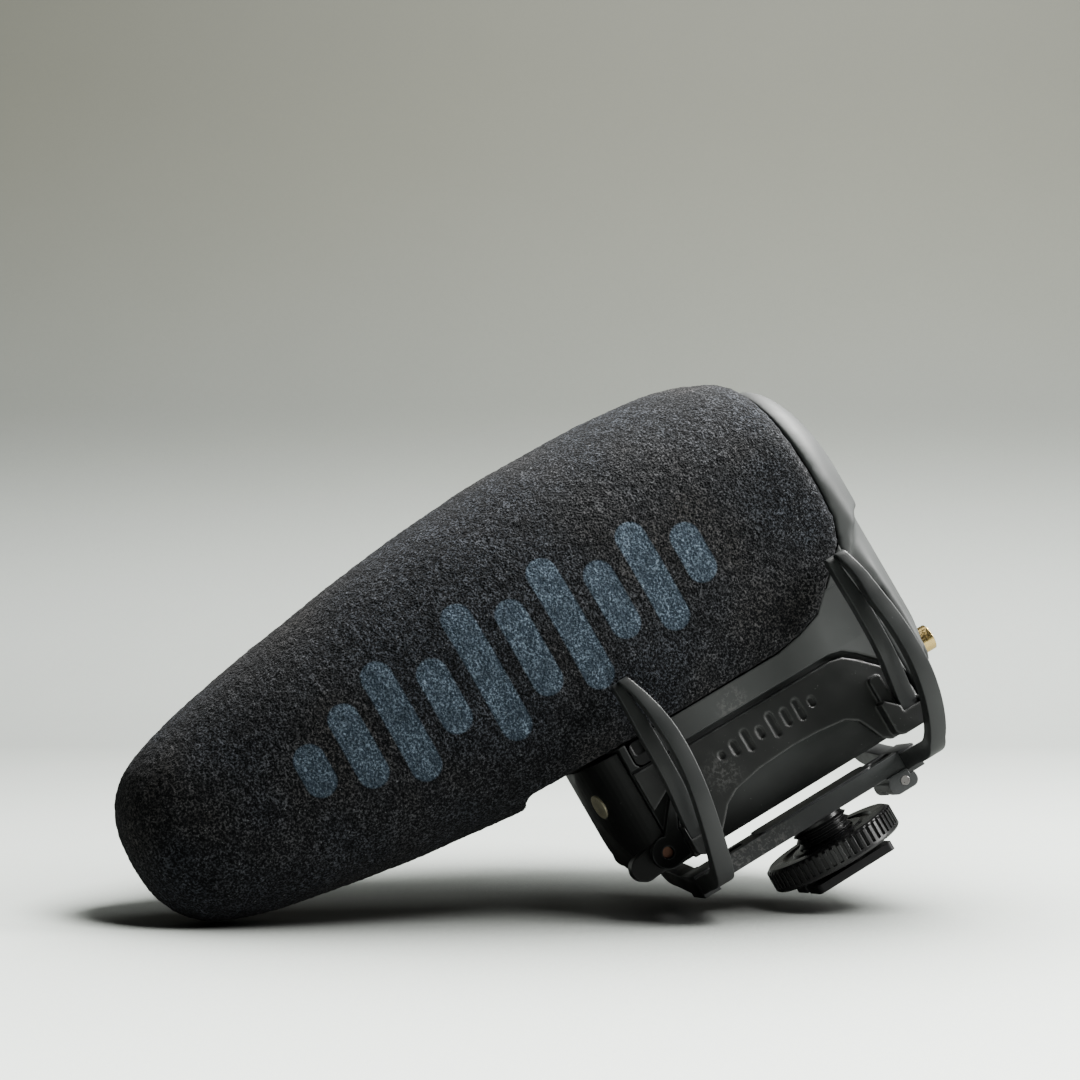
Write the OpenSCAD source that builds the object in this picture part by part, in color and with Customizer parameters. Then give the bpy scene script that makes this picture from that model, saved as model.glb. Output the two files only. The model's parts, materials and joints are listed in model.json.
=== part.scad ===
// On-camera shotgun microphone on hairpin-spring shock mount, with a camera shoe foot.
// Origin: centre of the foot's underside. +Z is up, the nose points to -X. Millimetres.

/* [Foot and lock wheel] */
// Side of the square shoe foot
foot_w = 18.6; // [18.3:0.1:18.7]
// Thickness of the shoe foot
foot_t = 1.8; // [1.6:0.1:2]
// Radius of the knurled lock wheel
wheel_r = 14.7; // [13.5:0.1:15]
// Height of the lock wheel
wheel_h = 5.0; // [4:0.5:5.5]
// Count of ribs on the wheel's rim
rib_count = 56; // [40:4:64]
// Pitch of the clamping thread on the stem
thread_pitch = 1.25; // [1:0.25:1.5]

/* [Shock mount] */
// Half width of the rail
rail_half_w = 5.0; // [4.5:0.5:5]
// X of the front spring frame's middle plane
front_lyre_x = -28.0; // [-28.5:0.5:-27.5]
// X of the rear spring frame's middle plane
rear_lyre_x = 23.0; // [22.8:0.1:23.2]
// Thickness of a spring frame at its base
lyre_base_t = 3.8; // [3:0.1:3.8]
// Thickness of a spring frame at its top
lyre_top_t = 3.0; // [2.4:0.1:3.2]
// How far the outer arms bow towards the rear
arm_bow = 3.4; // [2:0.1:3.5]

/* [Body] */
// Radius of the rounded collar behind the foam
ring_r = 24.1; // [24:0.1:24.3]
// Height of the microphone tube's axis
tube_z = 75.7; // [75:0.1:76]
// Wall of the housing
wall = 2.0; // [1.6:0.1:2]
// Proudness of the cheek panels
cheek_t = 2.0; // [1.8:0.1:2.2]
// How far the collar stands proud of the housing below it
collar_step = 2.6; // [2.4:0.1:2.8]

/* [Microphone and foam] */
// Outer radius of the slotted tube
tube_r = 9.5; // [9:0.1:9.8]
// X of the tube's front end
tube_nose_x = -112.0; // [-114:1:-100]
// X of the foam's nose
foam_nose_x = -126.6; // [-128:0.2:-124]
// Greatest radius of the foam in side view
foam_r = 33.5; // [32.5:0.1:34]
// Greatest half width of the foam
foam_half_w = 25.8; // [24.5:0.1:25.8]

/* [Hidden] */
$fn = 64;
eps = 0.01;
gap = 0.15;

// foot, stem and wheel
neck_top = 3.0;
rail_z = 12.5;
rail_h = 3.7;
bush_r = 4.7;
bore_38_r = 3.97;
stem_root_r = 5.5;
stem_crest_r = 6.2;
wheel_bore_r = 6.3;
wheel_z = 3.2;
washer_z = 2.3;
washer_t = wheel_z - washer_z - 0.05;

// housing
ring_x = 30.0;
ring_len = 9.4;
ring_z = 74.5;
collar_flank = 21.7;
shoulder_y = 20.0;
shoulder_top_y = 23.0;
shell_front = -33.0;
cap_x = 27.0;
heel_x0 = 27.6;
heel_slope = 0.4;
spigot_x = 10.0;
spigot_inset = 3.2;
belly_y = 18.6;
belly_z = 20.5;
belly_corner = 8.0;
corner_z = belly_z + belly_corner;
groove_top = 42.3;
groove_low = 41.0;
groove_floor_y = 17.6;
deck_z = 47.6;
top_z = 120;
curve_steps = 12;

// battery bay and door hinge
bay_y = 15.2;
bay_z0 = 23.0;
bay_z1 = 38.6;
bay_x1 = 18.5;
hinge_x = -34.7;
hinge_z = 24.9;
hinge_r = 3.3;
knuckle_r = 3.0;
pin_r = 1.2;
pin_half = 19.4;
stop_x = -39.7;
stop_z = 24.2;
stop_r = 2.75;
door_depth = 7.7;
door_half_w = 18.2;

// control panel
panel_x = 35.4;
panel_t = 0.9;
panel_half_w = 11.0;
panel_z0 = 46.0;
panel_z1 = 84.0;
key_w = 8.0;
key_h = 5.0;
key_y = 5.4;
power_z = 77.5;
power_r = 3.4;
board_x = 30.2;
board_t = 1.4;
switch_t = 0.5;
key_travel = 0.5;
face_x = panel_x + panel_t;
jack_z = 33.0;
jack_r = 3.4;
jack_bore_r = 1.8;
jack_x0 = 26.5;
jack_tip_x = 41.5;
sleeve_r = 2.8;
boss_x0 = 30.0;
boss_x = 38.4;
boss_r = 4.6;
usb_x = 29.55;
usb_z = 45.1;
usb_depth = 4.7;

// generic row of bars on each cheek
mark_heights = [1.6, 3.2, 4.8, 2.6, 5.4, 3.8, 4.8, 2.2];
mark_x = -15.4;
mark_z = 35.9;
mark_pitch = 3.1;
mark_w = 1.5;
mark_depth = 0.5;

// pale disc in the door
dot_at = [-39.1, -8.3, 38.6];
dot_r = 2.6;
dot_tilt = 12;

// foam
flank_r = 60.0;
flank_z = 71.0;

// spring frames
strip_steps = 12;
lyre_seat_z = 16.6;
lyre_top_z = 62;
front_skew = 1.35;
rear_skew = 0.85;
arm_points = [[-6, 13], [0, 13.2], [13, 14.8], [23.5, 16.4], [28.4, 21.5],
              [31.2, 30], [31.7, 39], [31.2, 48], [29.6, 53.6], [27.3, 58], [24.5, 62]];
hook_points = [[28.5, 62], [27.2, 58], [27.4, 51], [27.4, 44], [26.6, 37.5],
               [24.2, 31.5], [22.4, 27], [22.3, 24.4], [22.3, 20]];

// ---- helpers ----

// Points of a quarter ellipse from the far end to the side, as [along, out]
function quarter(a, b, n) = [for (i = [0:n]) [a * cos(90 * i / n), b * sin(90 * i / n)]];

// Catmull-Rom curve through all points but the first and last
function curve_at(a, b, c, d, t) =
    0.5 * (2 * b + (c - a) * t + (2 * a - 5 * b + 4 * c - d) * t * t
           + (3 * b - a - 3 * c + d) * t * t * t);
function curve(p, n) = concat(
    [for (i = [0:len(p) - 4]) for (k = [0:n - 1])
        curve_at(p[i], p[i + 1], p[i + 2], p[i + 3], k / n)],
    [p[len(p) - 2]]);

// Unit normal of a point list at index i
function normal(p, i) =
    let (a = p[max(i - 1, 0)], b = p[min(i + 1, len(p) - 1)], d = b - a)
    [-d[1], d[0]] / norm(d);

// Edge of a band of changing width along a curve
function edge(p, w0, w1, side) =
    [for (i = [0:len(p) - 1])
        p[i] + side * normal(p, i) * (w0 + (w1 - w0) * i / (len(p) - 1)) / 2];
function reversed(p) = [for (i = [len(p) - 1:-1:0]) p[i]];

module band(p, w0, w1) {
    polygon(concat(edge(p, w0, w1, 1), reversed(edge(p, w0, w1, -1))));
}

// Rounded rectangle between two corners
module round_rect(x0, y0, x1, y1, r) {
    translate([x0 + r, y0]) square([x1 - x0 - 2 * r, y1 - y0]);
    translate([x0, y0 + r]) square([x1 - x0, y1 - y0 - 2 * r]);
    for (x = [x0 + r, x1 - r]) for (y = [y0 + r, y1 - r]) translate([x, y]) circle(r);
}

// Lays a [x, z] outline on the plane y = y0 and gives it a thickness towards +Y
module along_y(y0, t) {
    translate([0, y0 + t, 0]) rotate([90, 0, 0]) linear_extrude(t) children();
}

// Lays a [y, z] outline on the plane x = x0 and gives it a thickness towards +X
module along_x(x0, t) {
    translate([x0, 0, 0]) rotate([90, 0, 90]) linear_extrude(t) children();
}

// Round bar along X
module rod_x(x0, x1, y, z, r) {
    translate([x0, y, z]) rotate([0, 90, 0]) cylinder(h = x1 - x0, r = r);
}

// Round bar along Y
module rod_y(y0, y1, x, z, r) {
    translate([x, y1, z]) rotate([90, 0, 0]) cylinder(h = y1 - y0, r = r);
}

// ---- foot, stem and wheel ----

module shoe_foot() {
    half = foot_w / 2;
    color([0.05, 0.05, 0.055]) difference() {
        union() {
            linear_extrude(foot_t) round_rect(-half, -half, half, half, 1.2);
            translate([0, 0, foot_t]) cylinder(h = neck_top - foot_t, r = stem_crest_r);
        }
        translate([0, 0, -1]) cylinder(h = neck_top + 2, r = bush_r + 0.05);
        for (x = [-half, half]) translate([x, 0, -1]) cylinder(h = foot_t + 2, r = 1.1);
    }
}

module thread_bushing() {
    color([0.72, 0.7, 0.66]) translate([0, 0, 0.2]) difference() {
        cylinder(h = 10, r = bush_r);
        translate([0, 0, -1]) cylinder(h = 9.6, r = bore_38_r);
    }
}

module threaded_stem() {
    turns = floor((rail_z - neck_top) / thread_pitch);
    color([0.06, 0.06, 0.065]) translate([0, 0, neck_top]) difference() {
        union() {
            cylinder(h = rail_z - neck_top, r = stem_root_r);
            rotate_extrude() polygon(concat(
                [[bush_r + 0.2, 0]],
                [for (i = [0:turns - 1]) for (k = [0:1])
                    [k == 0 ? stem_root_r : stem_crest_r, (i + 0.1 + 0.45 * k) * thread_pitch]],
                [[stem_root_r, turns * thread_pitch], [bush_r + 0.2, turns * thread_pitch]]));
        }
        translate([0, 0, -1]) cylinder(h = 9, r = bush_r + 0.05);
    }
}

module clamp_washer() {
    color([0.1, 0.1, 0.1]) translate([0, 0, washer_z]) difference() {
        cylinder(h = washer_t, r = 9.2);
        translate([0, 0, -1]) cylinder(h = washer_t + 2, r = wheel_bore_r);
    }
}

module lock_wheel() {
    rib_w = 2 * PI * wheel_r / rib_count / 2;
    color([0.04, 0.04, 0.045]) translate([0, 0, wheel_z]) difference() {
        rotate_extrude() polygon([
            [wheel_bore_r, 0], [wheel_r - 0.4, 0], [wheel_r, 0.4], [wheel_r, wheel_h - 0.7],
            [wheel_r - 0.9, wheel_h], [10.6, wheel_h], [10.2, wheel_h - 0.5],
            [8.4, wheel_h - 0.5], [8.0, wheel_h], [wheel_bore_r, wheel_h]]);
        for (i = [0:rib_count - 1]) rotate([0, 0, 360 * i / rib_count])
            translate([wheel_r - 0.55, -rib_w / 2, 1.0]) cube([2, rib_w, wheel_h]);
    }
}

// ---- rail, springs and clip ----

module mount_rail() {
    x0 = front_lyre_x + lyre_base_t / 2;
    x1 = rear_lyre_x - lyre_base_t / 2;
    color([0.13, 0.13, 0.135]) difference() {
        union() {
            translate([x0, -rail_half_w, rail_z]) cube([x1 - x0, 2 * rail_half_w, rail_h]);
            translate([0, 0, rail_z + rail_h - eps])
                linear_extrude(0.4) round_rect(-13, -4.6, 15, 4.6, 1.5);
            translate([x0 - 2.6, -2.4, rail_z + 0.7]) cube([x1 - x0 + 5.2, 4.8, 1.8]);
        }
        for (x = [-19, 18.5]) translate([x, 0, rail_z + 1.6])
            linear_extrude(4) round_rect(-2.6, -2.2, 2.6, 2.2, 1.2);
    }
}

// Middle and half thickness of a spring frame in [x, z], at the share u of its height
function strip_mid(u, bow, skew) = bow * sin(180 * pow(u, skew));
function strip_half(u) = (lyre_base_t + (lyre_top_t - lyre_base_t) * u) / 2;

// Strip in [x, z] whose middle bows towards the rear by bow, highest up for a large skew
module strip(bow, skew) {
    up = [for (i = [0:strip_steps]) i / strip_steps];
    span = lyre_top_z - lyre_seat_z;
    polygon(concat(
        [[-lyre_base_t / 2, 5], [lyre_base_t / 2, 5]],
        [for (u = up) [strip_mid(u, bow, skew) + strip_half(u), lyre_seat_z + span * u]],
        [for (u = reversed(up))
            [strip_mid(u, bow, skew) - strip_half(u), lyre_seat_z + span * u]]));
}

// One spring frame: a shallow V across the bottom and a hairpin arm on each side
module lyre(x, skew) {
    arm = curve(arm_points, 6);
    hook = curve(hook_points, 6);
    reach = lyre_base_t / 2 + arm_bow;
    color([0.12, 0.12, 0.125]) translate([x, 0, 0]) difference() {
        union() {
            intersection() {
                along_x(-reach, 2 * reach) union() {
                    for (s = [0, 1]) mirror([s, 0]) {
                        band(arm, 3.7, 3.2);
                        translate([27.25, 58]) circle(1.75);
                    }
                    round_rect(-5.4, 11.1, 5.4, 16.3, 1.2);
                }
                along_y(-40, 80) strip(arm_bow, skew);
            }
            intersection() {
                along_x(-reach, 2 * reach) for (s = [0, 1]) mirror([s, 0]) {
                    band(hook, 2.8, 3.0);
                    translate([27.25, 58]) circle(1.75);
                    translate([22.3, 24.4]) circle(1.5);
                }
                along_y(-40, 80) strip(0, 1);
            }
        }
        translate([-5, -2.45, rail_z + 0.65]) cube([10, 4.9, 1.9]);
    }
}

module front_lyre() {
    lyre(front_lyre_x, front_skew);
}

module rear_lyre() {
    lyre(rear_lyre_x, rear_skew);
}

module cable_clip() {
    color([0.1, 0.1, 0.105]) difference() {
        along_y(-5.5, 11) union() {
            round_rect(15.6, 8.4, 22.2, 12, 1.6);
            translate([16.2, 10]) square([5.4, rail_z - 10]);
        }
        rod_y(-6, 6, 19.4, 10.4, 1.05);
        translate([15, -2, 7]) cube([8, 4, 3]);
        translate([rear_lyre_x - lyre_base_t / 2 - 0.05, -6, 11.05]) cube([3, 12, 5]);
    }
}

module clip_pin() {
    color([0.7, 0.7, 0.7]) rod_y(-5.6, 5.6, 19.4, 10.4, 1.0);
}

// ---- housing ----

// Plan outline of the housing, inset by d and narrowed by step on each side
module plan_outline(d, step) {
    q = quarter(ring_len - d - 0.6 * step, ring_r - d - step, curve_steps);
    right = [for (p = q) [ring_x + p[0], p[1]]];
    left = [for (p = q) [ring_x + p[0], -p[1]]];
    polygon(concat(right, [[shell_front, ring_r - d - step], [shell_front, d + step - ring_r]],
                   reversed(left)));
}

// Rounded upper end of the housing, turned about the X axis
module dome(d) {
    q = quarter(ring_len - d, ring_r - d, curve_steps);
    translate([0, 0, ring_z]) rotate([0, 90, 0]) rotate_extrude()
        polygon(concat([[0, shell_front]], [for (p = q) [p[1], ring_x + p[0]]],
                       [[ring_r - d, shell_front]]));
}

// Cross section in [y, z] up to the top, with half width low below the groove's level
// and half width top at the collar's axis
module cross_section(top, low, d) {
    polygon([[30, top_z], [30, ring_z], [top - d, ring_z], [low - d, groove_top],
             [low - d, corner_z], [d - low, corner_z], [d - low, groove_top],
             [d - top, ring_z], [-30, ring_z], [-30, top_z]]);
    belly_section(low, d);
}

// Cross section in [y, z] of the battery belly, with round lower corners
module belly_section(half, d) {
    c = belly_corner - d;
    flat = half - belly_corner;
    translate([-flat, belly_z + d]) square([2 * flat, belly_corner]);
    translate([d - half, corner_z]) square([2 * (half - d), groove_top + 1 - corner_z]);
    for (s = [-1, 1]) translate([s * flat, corner_z]) circle(c);
}

// X of the sloping heel under the socket, at height z, inset by d
function heel_x(z, d) = heel_x0 + (z - belly_z) * heel_slope - d * norm([1, heel_slope]);

// Side outline in [x, z], with the sloping heel
module side_outline(d) {
    low = belly_z + d;
    high = belly_z + 40;
    polygon([[shell_front, low], [heel_x(low, d), low], [heel_x(high, d), high],
             [heel_x(high, d), top_z], [shell_front, top_z]]);
}

// Region in [x, z] that the collar covers
module collar_region() {
    polygon([[shell_front - 1, top_z], [shell_front - 1, 54], [24, 54], [28.2, 57.8],
             [30.9, 60.4], [33.0, 63.0], [34.4, 65.0], [50, 65.4], [50, top_z]]);
}

// Region in [x, z] where the housing keeps its full width, around the cheek panel
module shoulder_region() {
    polygon([[shell_front - 1, top_z], [shell_front - 1, groove_top], [14.2, groove_top],
             [17.2, 41.6], [19.6, 39.8], [24.2, 35.3], [26.7, 32.2], [27.6, 28.4],
             [27.6, 15], [50, 15], [50, top_z]]);
}

// Rounded collar behind the foam, with its hidden front under the foam
module collar(d) {
    intersection() {
        union() {
            dome(d);
            translate([0, 0, deck_z - 10]) linear_extrude(ring_z - deck_z + 10) plan_outline(d, 0);
        }
        along_x(shell_front - 1, 90) cross_section(ring_r, collar_flank, d);
        along_y(-40, 80) collar_region();
    }
}

// Housing below the collar: full width around the cheeks, narrower behind them
module lower_body(d) {
    intersection() {
        translate([0, 0, belly_z - 5]) linear_extrude(ring_z - belly_z + 5)
            plan_outline(d, collar_step);
        union() {
            intersection() {
                along_x(shell_front - 1, 90) cross_section(shoulder_top_y, shoulder_y, d);
                along_y(-40, 80) shoulder_region();
            }
            along_x(shell_front - 1, 90) belly_section(belly_y, d);
        }
    }
}

module body_outer(d) {
    intersection() {
        union() {
            collar(d);
            lower_body(d);
        }
        along_y(-40, 80) side_outline(d);
    }
}

// Shadow groove in [x, z] between the cheek panel and the housing above and behind it
module groove_outline() {
    polygon([[-21.6, groove_low], [13.6, groove_low], [16.4, 40.4], [18.6, 38.7],
             [23.1, 34.4], [25.4, 31.5], [26.2, 28], [27.6, 28.4], [26.7, 32.2],
             [24.2, 35.3], [19.6, 39.8], [17.2, 41.6], [14.2, groove_top],
             [-21.6, groove_top]]);
}

// Region in [x, z] that the foam leaves free, moved back by g
module hem_region(g) {
    polygon([[shell_front - 10, 0], [60, 0], [60, top_z], [29.4 - g, top_z],
             [29.4 - g, 72], [29.0 - g, 66], [27.4 - g, 61 + g], [22.9 - g, 56.7 + g],
             [16.4 - g, 50.3 + g], [11 - g, 48.6 + g], [5, deck_z + g],
             [shell_front - 10, deck_z + g]]);
}

module latch_recess() {
    along_y(16.6, 8) round_rect(-31.6, 41.9, -26.4, 52, 1.8);
}

module body_shell() {
    color([0.16, 0.165, 0.165]) difference() {
        union() {
            intersection() {
                body_outer(0);
                along_y(-40, 80) hem_region(0);
                translate([shell_front - 1, -40, 0]) cube([cap_x - shell_front + 1, 80, top_z]);
            }
            intersection() {
                body_outer(spigot_inset);
                translate([spigot_x, -40, deck_z - 4]) cube([cap_x - spigot_x, 80, top_z]);
            }
            for (s = [-1, 1]) hinge_ear(s);
        }
        translate([shell_front - 5, -bay_y, bay_z0])
            cube([bay_x1 - shell_front + 5, 2 * bay_y, bay_z1 - bay_z0]);
        translate([-24, -bay_y, bay_z1 + 1.6]) cube([60, 2 * bay_y, 5]);
        translate([bay_x1 + 1.6, -bay_y, bay_z0]) cube([20, 2 * bay_y, 22]);
        rod_x(spigot_x - 5, cap_x + 5, 0, tube_z, 13.2);
        for (s = [0, 1]) mirror([0, s, 0]) {
            latch_recess();
            along_y(groove_floor_y, 5) groove_outline();
        }
        rod_y(-30, 30, hinge_x, hinge_z, pin_r + 0.03);
        translate([shell_front - 20, -belly_y + 0.1, belly_z - 5])
            cube([20, 2 * belly_y - 0.2, 60]);
        rod_y(-belly_y + 0.15, belly_y - 0.15, hinge_x, hinge_z, 4.4);
        for (s = [0, 1]) mirror([0, s, 0]) translate([hinge_x - 2, 13, belly_z - 2])
            cube([6.9, 4.25, 6]);
    }
}

// Ear that carries one end of the door's hinge pin
module hinge_ear(s) {
    y0 = s > 0 ? belly_y : -belly_y - 2.2;
    along_y(y0, 2.2) union() {
        translate([hinge_x, hinge_z]) circle(hinge_r);
        polygon([[hinge_x - 1.4, hinge_z + 2.9], [hinge_x + 1, hinge_z + 3.1],
                 [-27.9, 35.2], [-27.5, 34.3], [-30.5, 28.2], [-30.6, 22.4],
                 [hinge_x + 1.6, hinge_z - 2.9]]);
    }
}

module rear_cap() {
    color([0.17, 0.175, 0.175]) difference() {
        union() {
            intersection() {
                body_outer(0);
                along_y(-40, 80) hem_region(0);
                translate([cap_x, -40, 0]) cube([30, 80, top_z]);
            }
            intersection() {
                body_outer(spigot_inset);
                translate([cap_x, -40, deck_z]) cube([4, 80, top_z]);
            }
            rod_x(boss_x0, boss_x, 0, jack_z, boss_r);
        }
        intersection() {
            body_outer(spigot_inset + wall);
            translate([cap_x - 1, -40, 0]) cube([4, 80, top_z]);
        }
        intersection() {
            body_outer(wall);
            translate([cap_x + 3 - eps, -40, 0]) cube([panel_x - cap_x - 4.2, 80, top_z]);
        }
        along_x(panel_x, 10)
            round_rect(-panel_half_w, panel_z0, panel_half_w, panel_z1, 4);
        for (k = [0:3]) key_place(k) key_bar(30, 50, 0.25);
        rod_x(30, 50, 0, power_z, power_r + 0.25);
        lamp_bars(30, 50, 0.05);
        rod_x(cap_x - 1, boss_x - 1, 0, jack_z, jack_r + 0.05);
        rod_x(cap_x - 1, 50, 0, jack_z, sleeve_r + 0.05);
        usb_block(-30, 20, gap);
    }
}

// ---- cradle cheeks ----

module cheek_outline() {
    polygon([[-32.9, 41.6], [-22.4, 41.6], [-21.6, groove_low], [13.6, groove_low],
             [16.4, 40.4], [18.6, 38.7], [23.1, 34.4], [25.4, 31.5], [26.2, 28],
             [26.2, 23.4], [24.8, 21.0], [17.2, 21.0], [15.4, 22.2], [14.4, 24.6],
             [12.9, 27.6], [10.4, 29.2], [4, 30], [-1.8, 30.2], [-10, 29.8],
             [-16.3, 28.6], [-19.2, 27], [-21.3, 24.7], [-23.5, 22.4], [-26.6, 21.2],
             [-30.2, 21.2], [-30.2, 28.2], [-27.2, 33.6], [-27.2, 36.4], [-32.9, 33.4]]);
}

// One bar of the generic mark, with round ends
module mark_bar(h) {
    round_rect(-mark_w / 2, -h / 2, mark_w / 2, h / 2, mark_w / 2 - eps);
}

// Cheek on the +Y side: raised panel with two blocks that seat the spring ends
module cheek() {
    out = belly_y + cheek_t;
    difference() {
        union() {
            along_y(belly_y, cheek_t) cheek_outline();
            along_y(out - eps, 3.9) union() {
                round_rect(17.4, 21.0, 27.4, 26.2, 1.6);
                polygon([[17.4, 24], [17.4, 28.4], [18.4, 28.8], [21.4, 26], [27.4, 25.6],
                         [27.4, 24]]);
            }
            along_y(out - eps, 1.8) round_rect(18.3, 26, 21.2, 34, 1.1);
            along_y(out - eps, 3.9) union() {
                round_rect(-30.2, 21.2, -24.4, 26.6, 1.6);
                polygon([[-30.2, 24], [-30.2, 28.0], [-24.4, 25.4], [-24.4, 24]]);
            }
        }
        for (x = [front_lyre_x, rear_lyre_x])
            translate([x - lyre_base_t / 2 - gap, out, 22.7]) {
                cube([lyre_base_t + 2 * gap, 3.4, 12]);
                translate([0, 0, 2.4]) cube([lyre_base_t + 2 * gap, 9, 12]);
            }
        translate([24.2, 22.3, 30.5]) sphere(0.9);
        along_y(out - mark_depth, 3) for (i = [0:len(mark_heights) - 1])
            translate([mark_x + mark_pitch * i, mark_z]) mark_bar(mark_heights[i]);
    }
}

module right_cradle() {
    color([0.14, 0.145, 0.145]) cheek();
}

module left_cradle() {
    color([0.14, 0.145, 0.145]) mirror([0, 1, 0]) cheek();
}

// ---- control panel ----

// Puts a key's child at one of the four key places
module key_place(k) {
    translate([0, (k % 2 == 0 ? -1 : 1) * key_y, 57 - 9.2 * floor(k / 2) + 5]) children();
}

module key_bar(x0, x1, d) {
    along_x(x0, x1 - x0)
        round_rect(-key_w / 2 - d, -key_h / 2 - d, key_w / 2 + d, key_h / 2 + d, 1.2);
}

module lamp_bars(x0, x1, d) {
    for (y = [-7, 7]) rod_x(x0, x1, y, power_z, 0.9 + d);
    for (k = [0:3]) key_place(k) rod_x(x0, x1, 0, 4.1, 0.6 + d);
}

module usb_block(y0, t, d) {
    along_y(y0, t) round_rect(usb_x - 1.3 - d, usb_z - 3.5 - d, usb_x + 1.3 + d,
                              usb_z + 3.5 + d, 0.5);
}

module rear_panel() {
    color([0.05, 0.05, 0.055]) difference() {
        along_x(panel_x, panel_t) round_rect(gap - panel_half_w, panel_z0 + gap,
                                             panel_half_w - gap, panel_z1 - gap, 3.85);
        for (k = [0:3]) key_place(k) key_bar(30, 50, 0.15);
        rod_x(30, 50, 0, power_z, power_r + 0.15);
        lamp_bars(30, 50, 0.05);
    }
}

module key(k) {
    end = board_x + board_t + switch_t + key_travel + 0.05;
    color([0.11, 0.11, 0.115]) key_place(k) union() {
        key_bar(panel_x - 1.5, face_x + 0.7, 0);
        rod_x(end, panel_x - 1.4, 0, 0, 1.2);
    }
}

module filter_button() {
    key(0);
}

module pad_button() {
    key(1);
}

module boost_button() {
    key(2);
}

module safety_button() {
    key(3);
}

module power_button() {
    end = board_x + board_t + switch_t + key_travel + 0.05;
    color([0.12, 0.12, 0.125]) difference() {
        union() {
            rod_x(panel_x - 1.5, face_x + 0.8, 0, power_z, power_r);
            rod_x(end, panel_x - 1.4, 0, power_z, 1.2);
        }
        rod_x(face_x + 0.5, face_x + 2, 0, power_z, 2.4);
    }
}

module status_lamps() {
    color([0.2, 0.75, 0.35]) lamp_bars(board_x + board_t + 1, face_x + 0.1, 0);
}

module output_jack() {
    color([0.83, 0.66, 0.3]) difference() {
        union() {
            rod_x(jack_x0, boss_x - 1.05, 0, jack_z, jack_r);
            rod_x(boss_x - 2, jack_tip_x, 0, jack_z, sleeve_r);
        }
        rod_x(jack_x0 + 1, 50, 0, jack_z, jack_bore_r);
    }
}

module usb_socket() {
    color([0.65, 0.66, 0.68]) difference() {
        usb_block(-19.6, usb_depth, 0);
        translate([usb_x - 0.9, -25, usb_z - 3.1]) cube([1.8, 9, 6.2]);
    }
}

// ---- inside the housing ----

module circuit_board() {
    color([0.05, 0.3, 0.16]) difference() {
        along_x(board_x, board_t) round_rect(-14.5, 40, 14.5, 88, 3);
        for (y = [-10.5, 10.5]) rod_x(30, 40, y, 84.5, 1.1);
    }
}

module tact_switches() {
    color([0.7, 0.7, 0.7]) {
        for (k = [0:3]) key_place(k)
            along_x(board_x + board_t, switch_t) round_rect(-2, -2, 2, 2, 0.4);
        along_x(board_x + board_t, switch_t)
            round_rect(-2, power_z - 2, 2, power_z + 2, 0.4);
    }
}

module battery_pack() {
    color([0.22, 0.22, 0.24]) difference() {
        along_x(-31.5, 48) round_rect(-14.9, bay_z0 + 0.4, 14.9, bay_z1 - 0.5, 3);
        for (y = [-3, 3]) translate([15.8, y - 1.4, 28]) cube([2, 2.8, 5]);
    }
}

module battery_contacts() {
    color([0.8, 0.65, 0.35]) for (y = [-3, 3]) union() {
        translate([bay_x1 - 0.5, y - 1.1, 28.5]) cube([0.5, 2.2, 5]);
        rod_x(bay_x1 - 1.6, bay_x1 - 0.4, y, 31, 0.8);
    }
}

module battery_door() {
    color([0.06, 0.062, 0.062]) difference() {
        union() {
            difference() {
                door_solid(0);
                door_solid(1.6);
            }
            for (s = [-1, 1]) door_arm(s);
        }
        dot_disc(-4, dot_r + 0.1);
        rod_y(-30, 30, hinge_x, hinge_z, pin_r + 0.05);
        for (y = [-12, 0, 12]) translate([-45, y - 1.2, 48.2]) cube([20, 2.4, 2]);
    }
}

// Convex front lid, inset by d
module door_solid(d) {
    q = quarter(door_depth - d, door_half_w - d, curve_steps);
    back = shell_front - 0.3 + (d > 0 ? 2 : 0);
    side = [for (p = q) [shell_front - 0.3 - p[0], p[1]]];
    other = [for (p = q) [shell_front - 0.3 - p[0], -p[1]]];
    intersection() {
        linear_extrude(60) polygon(concat(
            side, [[back, door_half_w - d], [back, d - door_half_w]], reversed(other)));
        along_y(-30, 60) polygon([
            [back, 22.4 + d], [-37.6, 22.4 + d], [-39 + d, 25], [-40 + d, 28.6],
            [-40.7 + d, 33], [-41.1 + d, 39], [-41.1 + d, 44], [-40.6 + d, 46.9 - d],
            [back, 46.9 - d]]);
    }
}

// Knuckle that turns on the pin; the left one has a rounded stop in front of it
module door_arm(s) {
    y0 = s > 0 ? 13.2 : -17.0;
    along_y(y0, 3.8) union() {
        translate([hinge_x, hinge_z]) circle(knuckle_r);
        if (s < 0) {
            translate([stop_x, stop_z]) circle(stop_r);
            polygon([[hinge_x, hinge_z - knuckle_r], [stop_x, stop_z - stop_r],
                     [stop_x, stop_z + stop_r], [hinge_x, hinge_z + knuckle_r]]);
        }
    }
}

// Disc on the door's curved front, from depth x0 to its seat
module dot_disc(x0, r) {
    translate(dot_at) rotate([0, 0, dot_tilt]) rod_x(x0, 0, 0, 0, r);
}

module front_dot() {
    color([0.85, 0.8, 0.6]) dot_disc(-1.2, dot_r);
}

module hinge_pin() {
    color([0.6, 0.45, 0.35]) rod_y(-pin_half, pin_half, hinge_x, hinge_z, pin_r);
}

// Push latch with a raised lip along its lower edge
module latch() {
    along_y(18.2, 1.2) latch_outline(0);
    along_y(19.3, 0.7) difference() {
        latch_outline(0);
        translate([0, 1.4]) latch_outline(0.7);
    }
}

module latch_outline(d) {
    round_rect(d - 31.2, 42.3 + d, -26.8 - d, 47.2, 1.4 - d);
}

module right_latch() {
    color([0.07, 0.07, 0.075]) latch();
}

module left_latch() {
    color([0.07, 0.07, 0.075]) mirror([0, 1, 0]) latch();
}

// ---- microphone ----

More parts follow.
